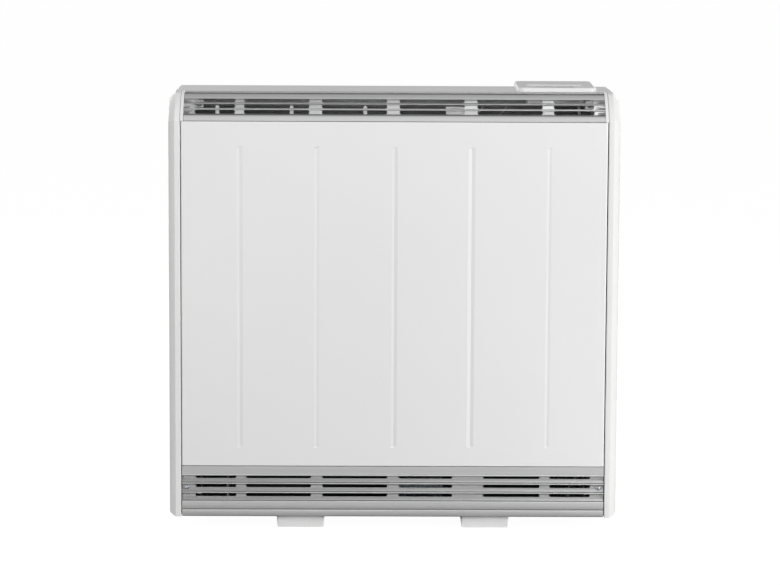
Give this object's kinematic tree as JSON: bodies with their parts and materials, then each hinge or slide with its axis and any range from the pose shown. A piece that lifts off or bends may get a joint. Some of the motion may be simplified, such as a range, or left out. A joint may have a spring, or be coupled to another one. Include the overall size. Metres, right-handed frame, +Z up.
{
  "type": "storage heater",
  "caption": "Floor-standing storage heater with a fluted steel front, louvred grilles, brick core, fan, damper flap and a push-button console.",
  "frame": {"origin": "on the floor, under the middle of the casing", "axes": "+Z up, +X to the right seen from the front, the front faces -Y and the wall side +Y"},
  "size_m": [0.71, 0.195, 0.7034],
  "materials": {
    "white_paint": "satin powder coat",
    "cap_plastic": "fine matt texture",
    "grille_paint": "satin silver-grey",
    "galvanised": "galvanised sheet",
    "zinc_plated": "bright zinc",
    "brick": "rough pressed magnetite block, opaque",
    "insulation": "pressed fibre board",
    "element_sheath": "dark oxidised sheath",
    "bronze": "sintered bush",
    "motor_case": "zinc, bluish",
    "fan_metal": "black anodised",
    "flap_metal": "mill finish",
    "cream_plastic": "moulded",
    "black_plastic": "moulded",
    "board": "glass fibre board",
    "wire_sheath": "smooth sheath",
    "rubber": "matt rubber",
    "console_plastic": "smooth moulded",
    "display_window": "clear window",
    "button_plastic": "soft matt"
  },
  "bodies": {
    "casing": {"left_end_cap": "cap_plastic", "right_end_cap": "cap_plastic", "top_panel": "white_paint", "front_panel": "white_paint", "top_grille": "grille_paint", "bottom_grille": "grille_paint", "back_panel": "galvanised", "base_tray": "galvanised", "left_side_panel": "galvanised", "right_side_panel": "galvanised", "left_foot": "cap_plastic", "right_foot": "cap_plastic", "wall_bracket": "galvanised", "front_rail": "white_paint", "grille_brackets": "white_paint", "bracket_screws": "zinc_plated", "bottom_grille_screws": "zinc_plated", "cap_screws": "zinc_plated", "foot_screws": "zinc_plated", "core_support": "galvanised", "base_insulation": "insulation", "front_insulation": "insulation", "rear_insulation": "insulation", "left_insulation": "insulation", "right_insulation": "insulation", "top_insulation": "insulation", "inner_case_front": "galvanised", "inner_case_rear": "galvanised", "inner_case_top": "galvanised", "brick_course_1": "brick", "brick_course_2": "brick", "brick_course_3": "brick", "brick_course_4": "brick", "brick_course_5": "brick", "lower_element": "element_sheath", "middle_element": "element_sheath", "upper_element": "element_sheath", "fan_housing": "galvanised", "fan_bearing": "bronze", "fan_motor": "motor_case", "damper_brackets": "galvanised", "damper_motor": "cream_plastic", "thermal_cutout": "black_plastic", "core_sensor": "zinc_plated", "terminal_block": "cream_plastic", "control_board": "board", "console_lead": "wire_sheath", "cable_grommet": "rubber", "console_housing": "console_plastic", "display_lens": "display_window", "console_board": "board"},
    "fan_rotor_body": {"fan_rotor": "fan_metal"},
    "damper_body": {"damper_flap": "flap_metal"},
    "button_back_body": {"button_back": "button_plastic"},
    "button_down_body": {"button_down": "button_plastic"},
    "button_up_body": {"button_up": "button_plastic"},
    "button_select_body": {"button_select": "button_plastic"},
    "button_boost_body": {"button_boost": "button_plastic"}
  },
  "joints": [
    {"name": "fan_spin", "type": "hinge", "parent": "casing", "child": "fan_rotor_body", "pos_m": [-0.1293, -0.0195, 0.0595], "axis": [1, 0, 0], "continuous": true},
    {"name": "damper_swing", "type": "hinge", "parent": "casing", "child": "damper_body", "pos_m": [0, 0.0204, 0.6195], "axis": [-1, 0, 0], "range_deg": [0, 50]},
    {"name": "press_back", "type": "slide", "parent": "casing", "child": "button_back_body", "axis": [0, 0, -1], "range_m": [0, 0.0008], "stiffness_N_per_m": 600},
    {"name": "press_down", "type": "slide", "parent": "casing", "child": "button_down_body", "axis": [0, 0, -1], "range_m": [0, 0.0008], "stiffness_N_per_m": 600},
    {"name": "press_up", "type": "slide", "parent": "casing", "child": "button_up_body", "axis": [0, 0, -1], "range_m": [0, 0.0008], "stiffness_N_per_m": 600},
    {"name": "press_select", "type": "slide", "parent": "casing", "child": "button_select_body", "axis": [0, 0, -1], "range_m": [0, 0.0008], "stiffness_N_per_m": 600},
    {"name": "press_boost", "type": "slide", "parent": "casing", "child": "button_boost_body", "axis": [0, 0, -1], "range_m": [0, 0.0008], "stiffness_N_per_m": 600}
  ]
}
